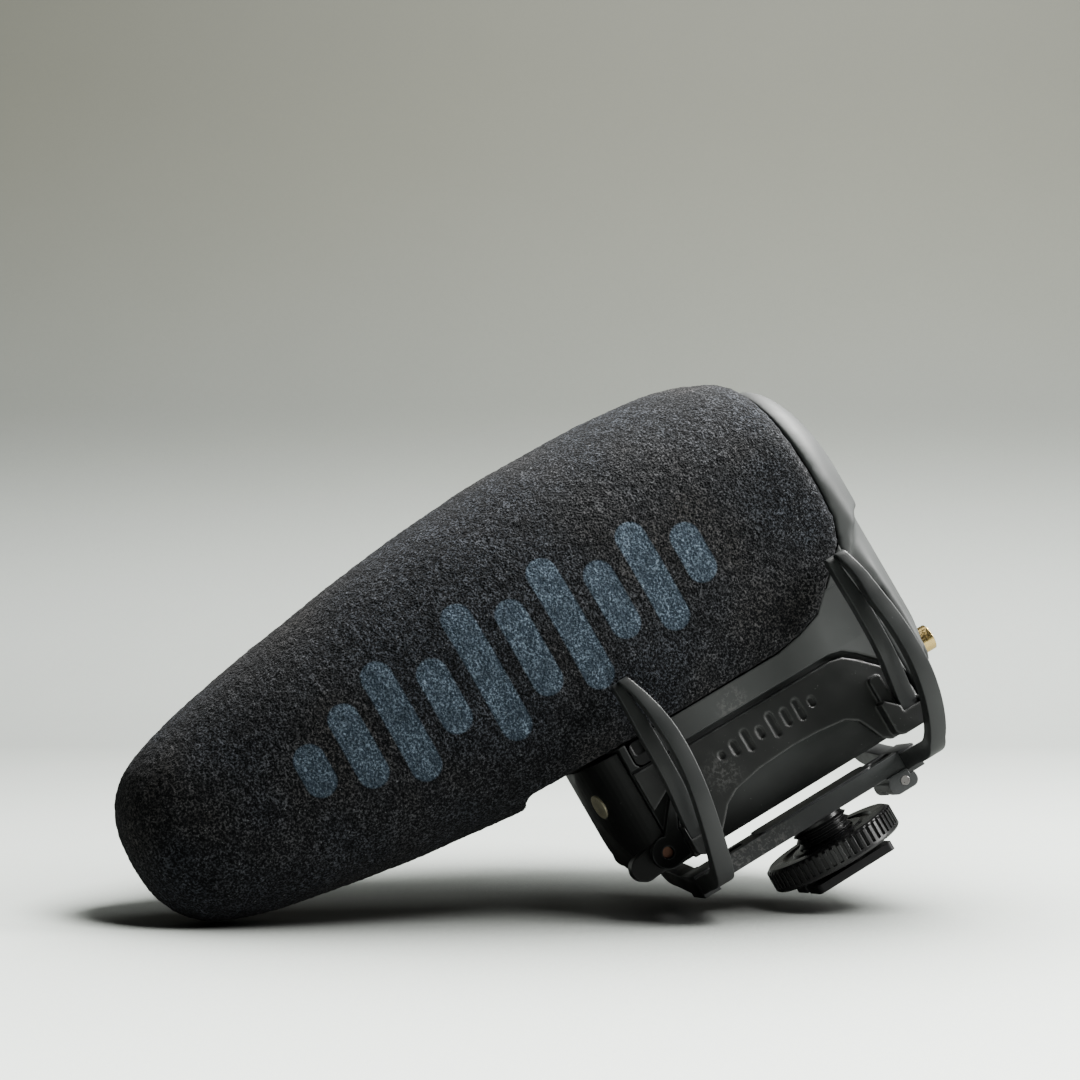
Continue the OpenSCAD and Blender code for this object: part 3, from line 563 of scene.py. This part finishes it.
def make_foam():
    """The windshield as one piece: hull, hollows, rounded rims and open-cell relief."""
    verts, faces = foam_hull()
    foam = new_object("foam_windshield_skin", verts, faces, "foam_printed", "foam")
    tidy_normals(foam)
    bore_r = TUBE_R + BORE_GAP
    bore = [(bore_r * math.cos(a), AXIS_Z + bore_r * math.sin(a))
            for a in np.linspace(0, 2 * math.pi, 48, endpoint=False)]
    cut(foam, prism("hem_cut", HEM_OUTLINE, -BESIDE_Y, BESIDE_Y))
    cut(foam, tunnel("bore_cut", BORE_FRONT_X, BEHIND_X, bore))
    cut(foam, tunnel("neck_cut", NECK_FRONT_X, BEHIND_X, spigot_section()))
    mod = foam.modifiers.new("remesh", "REMESH")
    mod.mode = "VOXEL"
    mod.voxel_size = FOAM_VOXEL * MM
    apply_modifiers(foam)
    mod = foam.modifiers.new("soften", "SMOOTH")
    mod.factor = 0.5
    mod.iterations = 7
    apply_modifiers(foam)
    foam_relief(foam.data, CELL_DEPTH)
    foam.data.shade_smooth()
    foam.data.materials.clear()
    foam.data.materials.append(MATERIALS["foam_printed"])
    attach(foam, "foam")
    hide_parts("foam_windshield")


make_foam()

# ---------------------------------------------------------------- spring frames

ARM = [(-6, 13), (0, 13.2), (13, 14.8), (23.5, 16.4), (28.4, 21.5), (31.2, 30), (31.7, 39),
       (31.2, 48), (29.6, 53.6), (27.9, 58), (26.3, 62)]
HOOK = [(27.2, 62), (27.1, 58), (27.4, 51), (27.4, 44), (26.6, 37.5), (24.2, 31.5),
        (22.4, 27), (22.3, 24.4), (22.3, 20)]
APEX_Z = 58.0
FRAME_FOOT_Z = 16.6
FRAME_TOP_Z = 62.0
HALF_BASE = 1.9
HALF_MIDDLE = 1.55
HALF_TIP = 1.05
TIP_ROUND = 1.7
ARM_BOW = 3.4
SKEW = {"front_lyre": 1.35, "rear_lyre": 0.85}
SPLIT = {"front_lyre": 0.35, "rear_lyre": 1.0}
SLOT_RISE = (47.0, 56.5)
SLOT_CLOSE = (59.3, 61.6)
ARM_SPLIT = 1.1
HOOK_SPLIT = -0.5
ARM_WIDTH = (3.7, 3.1)
HOOK_WIDTH = (2.8, 3.0)
SEAT_HALF = HALF_BASE + 0.06
SEAT_HALF_Y = 5.4
SEAT_Z = (11.1, 16.3)


def smooth_step(value, low, high):
    t = min(1.0, max(0.0, (value - low) / (high - low)))
    return t * t * (3 - 2 * t)


def frame_half_thickness(z):
    """Half of a band's thickness along the mic, thinning to a rounded tip."""
    half = HALF_BASE + (HALF_MIDDLE - HALF_BASE) * smooth_step(z, FRAME_FOOT_Z, 45.0)
    half += (HALF_TIP - HALF_MIDDLE) * smooth_step(z, 46.0, APEX_Z)
    into_tip = max(0.0, (z - FRAME_TOP_Z + TIP_ROUND) / TIP_ROUND)
    return half * math.sqrt(max(0.08, 1.0 - into_tip * into_tip))


def band_shift(z, bow, skew, split):
    """How far a band stands behind its seat at a height, in mm: its bow, and the slot's share."""
    u = min(1.0, max(0.0, (z - FRAME_FOOT_Z) / (FRAME_TOP_Z - FRAME_FOOT_Z)))
    slot = smooth_step(z, *SLOT_RISE) * (1.0 - smooth_step(z, *SLOT_CLOSE))
    return bow * math.sin(math.pi * u ** skew) + split * slot


def band_mesh(path, widths, x, bow, skew, split):
    """Flat band along a [y, z] path, as wide as widths and centred on x: closed, rounded ends."""
    path = [Vector(p) for p in path]
    rows = []
    for i, p in enumerate(path):
        d = (path[min(i + 1, len(path) - 1)] - path[max(i - 1, 0)]).normalized()
        rows.append((p, Vector((-d.y, d.x)), widths[i] / 2))
    for at, sign in ((0, -1), (-1, 1)):
        p, n, w = rows[at]
        d = Vector((n.y, -n.x)) * sign
        steps = [(p + d * w * math.sin(a), n, w * math.cos(a)) for a in np.linspace(0.35, 1.45, 5)]
        rows = rows + steps if sign > 0 else steps[::-1] + rows
    verts, faces = [], []
    for p, n, w in rows:
        for side, face in ((1, -1), (-1, -1), (-1, 1), (1, 1)):
            q = p + n * w * side
            middle = x + band_shift(q.y, bow, skew, split)
            verts.append((middle + face * frame_half_thickness(q.y), q.x, q.y))
    for r in range(len(rows) - 1):
        for k in range(4):
            a, b = r * 4 + k, r * 4 + (k + 1) % 4
            faces.append((a, b, b + 4, a + 4))
    faces.append((3, 2, 1, 0))
    end = (len(rows) - 1) * 4
    faces.append((end, end + 1, end + 2, end + 3))
    return verts, faces


def soften_edges(obj, width_mm, segments=3):
    """Rounds the sharp edges of a mesh."""
    mod = obj.modifiers.new("bevel", "BEVEL")
    mod.width = width_mm * MM
    mod.segments = segments
    mod.limit_method = "ANGLE"
    mod.angle_limit = math.radians(40)
    mod.harden_normals = False
    apply_modifiers(obj)
    obj.data.shade_smooth()


def join_meshes(parts):
    """One list of points and one of faces from several pairs."""
    verts, faces = [], []
    for v, f in parts:
        offset = len(verts)
        verts += v
        faces += [tuple(i + offset for i in face) for face in f]
    return verts, faces


def slab(x0, x1, y0, y1, z0, z1):
    """Plain box, whose edges are softened together with the piece it joins."""
    verts = [(x, y, z) for x in (x0, x1) for y in (y0, y1) for z in (z0, z1)]
    faces = [(0, 1, 3, 2), (4, 6, 7, 5), (0, 4, 5, 1), (2, 3, 7, 6), (0, 2, 6, 4), (1, 5, 7, 3)]
    return verts, faces


def make_spring(node):
    """A spring frame: the outer part with its seat, and the hooks as a piece of their own."""
    x = box_mm(node)[0][0] + HALF_BASE
    half = catmull(ARM, 8)
    path = [(-y, z) for y, z in reversed(half[1:])] + half
    middle = len(half) - 1
    taper = ARM_WIDTH[0] - ARM_WIDTH[1]
    widths = [ARM_WIDTH[0] - taper * abs(i - middle) / middle for i in range(len(path))]
    outer = band_mesh(path, widths, x, ARM_BOW, SKEW[node], ARM_SPLIT * SPLIT[node])
    seat = slab(x - SEAT_HALF, x + SEAT_HALF, -SEAT_HALF_Y, SEAT_HALF_Y, *SEAT_Z)
    frame_obj = new_object(node + "_outer", *join_meshes([outer, seat]),
                           "spring_plastic", "spring_plastic")
    tidy_normals(frame_obj)
    soften_edges(frame_obj, 0.5)
    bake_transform(frame_obj)
    hook = catmull(HOOK, 8)
    hook_widths = list(np.linspace(*HOOK_WIDTH, len(hook)))
    split = HOOK_SPLIT * SPLIT[node]
    right = band_mesh(hook, hook_widths, x, 0.0, 1.0, split)
    left = band_mesh([(-y, z) for y, z in hook], hook_widths, x, 0.0, 1.0, split)
    hooks = new_object(node + "_hooks", *join_meshes([left, right]),
                       "spring_plastic", "spring_plastic")
    tidy_normals(hooks)
    soften_edges(hooks, 0.45)
    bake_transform(hooks)
    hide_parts(node)


make_spring("front_lyre")
make_spring("rear_lyre")

# ---------------------------------------------------------------- rounded housing

SOFT_VOXEL = 0.4
SOFT_PASSES = 3
COLLAR_PASSES = 16
COLLAR_FRONT_X = 29.3
COLLAR_LOW_Z = 52.0
COLLAR_SIDE_Y = 11.0


def relax(obj, passes, weight_at):
    """Evens out a mesh by averaging each point with its neighbours, weighted by place in mm."""
    mesh = obj.data
    n = len(mesh.vertices)
    co = np.empty(n * 3)
    mesh.vertices.foreach_get("co", co)
    co = co.reshape(-1, 3)
    ends = np.empty(len(mesh.edges) * 2, np.int64)
    mesh.edges.foreach_get("vertices", ends)
    ends = ends.reshape(-1, 2)
    first = np.concatenate([ends[:, 0], ends[:, 1]])
    second = np.concatenate([ends[:, 1], ends[:, 0]])
    count = np.maximum(np.bincount(first, minlength=n), 1)[:, None]
    weight = 0.6 * weight_at(co / MM)[:, None]
    for _ in range(passes):
        mean = np.stack([np.bincount(first, co[second, k], n) for k in range(3)], 1) / count
        co = co + (mean - co) * weight
    mesh.vertices.foreach_set("co", co.ravel())
    mesh.update()


def collar_weight(p):
    """1 around the crease on the collar's flanks, fading to 0 towards seams and details."""
    def fade(v, low, high):
        t = np.clip((v - low) / (high - low), 0, 1)
        return t * t * (3 - 2 * t)
    behind = fade(p[:, 0], COLLAR_FRONT_X, COLLAR_FRONT_X + 1.6)
    aside = fade(np.abs(p[:, 1]), COLLAR_SIDE_Y, COLLAR_SIDE_Y + 2.5)
    return behind * aside * fade(p[:, 2], COLLAR_LOW_Z, COLLAR_LOW_Z + 4.0)


# the collar's lower edge slopes through this place, and the collar lies on the side of STEP_UP
STEP_FOOT = (28.2, 0.0, 57.8)
STEP_UP = (-0.735, 0.0, 0.678)
WEB_FROM, WEB_TO = -0.1, 1.4
WEB_INNER_Y = 15.0
WEB_INSET = 0.6


def step_web(cap, side):
    """Closes the underside of the collar's step on one side: a slab of the collar's own hull."""
    bm = bmesh.new()
    for v in cap.data.vertices:
        if v.co.z > COLLAR_LOW_Z * MM:
            bm.verts.new(v.co)
    hull = bmesh.ops.convex_hull(bm, input=bm.verts)
    kept = {v for g in hull["geom"] if isinstance(g, bmesh.types.BMFace) for v in g.verts}
    spare = [v for v in bm.verts if v not in kept]
    bmesh.ops.delete(bm, geom=spare, context="VERTS")
    half = max(v.co.y for v in bm.verts)
    for v in bm.verts:
        v.co.y *= 1.0 - WEB_INSET * MM / half
        v.co.x -= WEB_INSET * MM
    foot, up = Vector(STEP_FOOT) * MM, Vector(STEP_UP)
    planes = [(foot + up * WEB_FROM * MM, -up), (foot + up * WEB_TO * MM, up),
              (Vector((0, side * WEB_INNER_Y * MM, 0)), Vector((0, -side, 0)))]
    for place, outward in planes:
        geom = bm.verts[:] + bm.edges[:] + bm.faces[:]
        bmesh.ops.bisect_plane(bm, geom=geom, plane_co=place, plane_no=outward,
                               clear_outer=True)
        rim = [e for e in bm.edges if e.is_boundary]
        bmesh.ops.edgeloop_fill(bm, edges=rim)
    bmesh.ops.recalc_face_normals(bm, faces=bm.faces)
    web = bpy.data.meshes.new("step_web")
    bm.to_mesh(web)
    bm.free()
    return web


def add_mesh(obj, mesh):
    """Adds a mesh to an object's own and removes it."""
    bm = bmesh.new()
    bm.from_mesh(obj.data)
    bm.from_mesh(mesh)
    bm.to_mesh(obj.data)
    bm.free()
    bpy.data.meshes.remove(mesh)


def soften_cap():
    """Rear cap with the moulding's rounded edges and a collar that turns without a crease."""
    cap = NODES["rear_cap"].copy()
    cap.data = NODES["rear_cap"].data.copy()
    cap.name = "rear_cap_moulding"
    cap.parent = None
    bpy.context.scene.collection.objects.link(cap)
    for web in [step_web(cap, -1), step_web(cap, 1)]:
        add_mesh(cap, web)
    mod = cap.modifiers.new("remesh", "REMESH")
    mod.mode = "VOXEL"
    mod.voxel_size = SOFT_VOXEL * MM
    apply_modifiers(cap)
    relax(cap, SOFT_PASSES, lambda p: np.ones(len(p)))
    relax(cap, COLLAR_PASSES, collar_weight)
    cap.data.shade_smooth()
    cap.data.materials.clear()
    cap.data.materials.append(MATERIALS["housing"])
    for key in list(cap.keys()):
        del cap[key]
    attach(cap, "mic")
    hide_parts("rear_cap")


soften_cap()

# ---------------------------------------------------------------- camera

AIM = Vector((-21.4, 0.0, 92.0)) * MM
CAMERA_DISTANCE = 489.3 * MM
CAMERA_AZIMUTH = math.radians(11.57)
CAMERA_ELEVATION = math.radians(-1.56)
CAMERA_ROLL = math.radians(-29.96)
SENSOR = 36.0
FOCAL_IN_FRAMES = 2.169

away = Vector((-math.sin(CAMERA_AZIMUTH) * math.cos(CAMERA_ELEVATION),
               -math.cos(CAMERA_AZIMUTH) * math.cos(CAMERA_ELEVATION),
               math.sin(CAMERA_ELEVATION)))
camera_data = bpy.data.cameras.new("camera")
camera_data.sensor_width = SENSOR
camera_data.lens = SENSOR * FOCAL_IN_FRAMES
camera_data.clip_start = 0.01
camera = bpy.data.objects.new("camera", camera_data)
bpy.context.scene.collection.objects.link(camera)
upright = (-away).to_track_quat("-Z", "Y").to_matrix().to_4x4()
camera.matrix_world = (Matrix.Translation(AIM + away * CAMERA_DISTANCE) @ upright
                       @ Matrix.Rotation(CAMERA_ROLL, 4, "Z"))
bpy.context.scene.camera = camera

# ---------------------------------------------------------------- floor and light

FLOOR_UP = Vector((0.4896, -0.0976, 0.8665)).normalized()


def floor_height():
    """Signed height, along the floor's normal, of the lowest shown point."""
    lowest = 1.0
    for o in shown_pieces():
        n = len(o.data.vertices)
        co = np.empty(n * 3)
        o.data.vertices.foreach_get("co", co)
        lowest = min(lowest, float((co.reshape(-1, 3) @ np.array(FLOOR_UP)).min()))
    return lowest


FORWARD = -away
floor_back = (FORWARD - FLOOR_UP * FORWARD.dot(FLOOR_UP)).normalized()
floor_side = floor_back.cross(FLOOR_UP).normalized()


def stage_point(side, back, up):
    """Place in metres beside, behind and above the object on the tilted floor."""
    return FLOOR_ORIGIN + floor_side * side + floor_back * back + FLOOR_UP * up


BOUNCE_SHARE = 0.22
# Reach in metres and strength of the painted contact shadow on the floor
CONTACT_SHADOW_REACH = 0.20
CONTACT_SHADOW_DEPTH = 3.0
# Painted shade of the backdrop at its middle and at its top
BACKDROP_MIDDLE_SHADE = 0.34
BACKDROP_TOP_SHADE = 0.72
lift = floor_height() - 0.0002
FLOOR_ORIGIN = AIM - FLOOR_UP * (AIM.dot(FLOOR_UP) - lift)


def sweep_material():
    """Pale paper with painted shade that darkens up the backdrop and towards the left, and a
    painted contact shadow around the object; seen from its front only so that other views look
    through its back."""
    s = Shader("sweep_paper")
    geo = s.add("NewGeometry")
    up = s.add("VectorMath", {"operation": "DOT_PRODUCT"})
    s.tree.links.new(s.coord, up.inputs[0])
    up.inputs[1].default_value = FLOOR_UP
    height = s.math("SUBTRACT", up.outputs["Value"], lift)
    # Painted shade: the backdrop darkens with height
    low_shade = s.ramp(height, 0.02, 0.19, 1.0, BACKDROP_MIDDLE_SHADE)
    shade = s.math("MULTIPLY", low_shade, s.ramp(height, 0.10, 0.48, 1.0, BACKDROP_TOP_SHADE))
    side = s.add("VectorMath", {"operation": "DOT_PRODUCT"})
    s.tree.links.new(s.coord, side.inputs[0])
    side.inputs[1].default_value = floor_side
    # Painted shade: darker towards the left, lighter to the right where the lights stand
    shade = s.math("MULTIPLY", shade, s.ramp(side.outputs["Value"], -0.45, 0.35, 0.86, 1.03))
    shade = s.math("MULTIPLY", shade, s.ramp(s.noise(60.0, 3.0), 0.3, 0.7, 0.985, 1.0))
    seen = s.add("LightPath").outputs["Is Camera Ray"]
    shade = s.math("MULTIPLY", shade, s.ramp(seen, 0.0, 1.0, BOUNCE_SHARE, 1.0))
    # Painted contact shadow: the paper darkens where the object's ambient occlusion falls
    open_sky = s.add("AmbientOcclusion", {"samples": 12}, Distance=CONTACT_SHADOW_REACH).outputs["AO"]
    shade = s.math("MULTIPLY", shade, s.math("POWER", open_sky, CONTACT_SHADOW_DEPTH))
    warm = s.ramp(height, 0.05, 0.42)
    paper_color = s.mix(warm, (0.79, 0.845, 0.80), (0.80, 0.82, 0.67))
    fine = s.noise(0.5, 3.0)
    paper = s.add("BsdfPrincipled", Base_Color=s.tint(paper_color, shade), Roughness=0.62,
                  Normal=s.bump(fine, 0.02))
    clear = s.add("BsdfTransparent")
    mix = s.add("MixShader")
    s.feed(mix.inputs[0], geo.outputs["Backfacing"])
    s.tree.links.new(paper.outputs[0], mix.inputs[1])
    s.tree.links.new(clear.outputs[0], mix.inputs[2])
    s.tree.links.new(mix.outputs[0], s.out.inputs["Surface"])
    return s.mat


def make_sweep():
    """Floor that curves up into a backdrop behind the object."""
    half_width, near, far, radius, height = 1.6, 0.9, 0.55, 0.55, 1.7
    profile = [(-near + (near + far) * i / 8, 0.0) for i in range(9)]
    profile += [(far + radius * math.sin(a), radius * (1 - math.cos(a)))
                for a in np.linspace(0.08, math.pi / 2, 20)]
    profile.append((far + radius, height))
    sides = np.linspace(-half_width, half_width, 9)
    verts = [tuple(stage_point(s, b, u)) for b, u in profile for s in sides]
    n = len(sides)
    faces = [(r * n + k, r * n + k + 1, (r + 1) * n + k + 1, (r + 1) * n + k)
             for r in range(len(profile) - 1) for k in range(n - 1)]
    mesh = bpy.data.meshes.new("sweep")
    mesh.from_pydata(verts, [], faces)
    mesh.materials.append(sweep_material())
    obj = bpy.data.objects.new("sweep", mesh)
    bpy.context.scene.collection.objects.link(obj)
    mesh.shade_smooth()
    if (Vector(mesh.polygons[0].normal)).dot(FLOOR_UP) < 0:
        mesh.flip_normals()
    return obj


sweep = make_sweep()


def area_light(name, place, target, size, power, color):
    """Square softbox at a place in metres, aimed at a target."""
    data = bpy.data.lights.new(name, "AREA")
    data.shape = "RECTANGLE"
    data.size = size
    data.size_y = size
    data.energy = power
    data.color = color
    obj = bpy.data.objects.new(name, data)
    bpy.context.scene.collection.objects.link(obj)
    direction = (target - place).normalized()
    obj.matrix_world = (Matrix.Translation(place)
                        @ direction.to_track_quat("-Z", "Y").to_matrix().to_4x4())
    return obj


def link_light(light, state):
    """INCLUDE lets a light fall on the sweep only, EXCLUDE on everything but the sweep."""
    lit = bpy.data.collections.new(light.name + "_receivers")
    lit.objects.link(sweep)
    lit.collection_objects[0].light_linking.link_state = state
    light.light_linking.receiver_collection = lit


KEY_COLOR = (1.0, 0.995, 0.97)
RIGHT_COLOR = (1.0, 1.0, 0.98)
WASH_COLOR = (1.0, 1.0, 0.97)
subject = stage_point(0.02, 0.0, 0.04)
key = area_light("key", stage_point(0.34, 0.17, 0.80), subject, 0.36, 33.0, KEY_COLOR)
link_light(key, "EXCLUDE")
floor_key = area_light("floor_key", stage_point(0.34, -0.42, 0.75), subject, 0.36, 44.0, KEY_COLOR)
link_light(floor_key, "INCLUDE")
area_light("right", stage_point(0.60, -0.12, 0.42), subject, 0.30, 8.5, RIGHT_COLOR)
area_light("backdrop_wash", stage_point(0.30, 0.35, 1.05), stage_point(0.25, 1.1, 0.15),
           0.8, 5.5, WASH_COLOR)

SKY_LIGHT = 0.04
SKY_IN_VIEW = 0.5
world = bpy.data.worlds.new("studio")
bpy.context.scene.world = world
world.use_nodes = True
sky = world.node_tree.nodes["Background"]
sky.inputs["Color"].default_value = (0.62, 0.65, 0.64, 1)
seen_sky = world.node_tree.nodes.new("ShaderNodeLightPath")
sky_strength = world.node_tree.nodes.new("ShaderNodeMapRange")
sky_strength.inputs["To Min"].default_value = SKY_LIGHT
sky_strength.inputs["To Max"].default_value = SKY_IN_VIEW
world.node_tree.links.new(seen_sky.outputs["Is Camera Ray"], sky_strength.inputs["Value"])
world.node_tree.links.new(sky_strength.outputs["Result"], sky.inputs["Strength"])

bpy.context.view_layer.update()
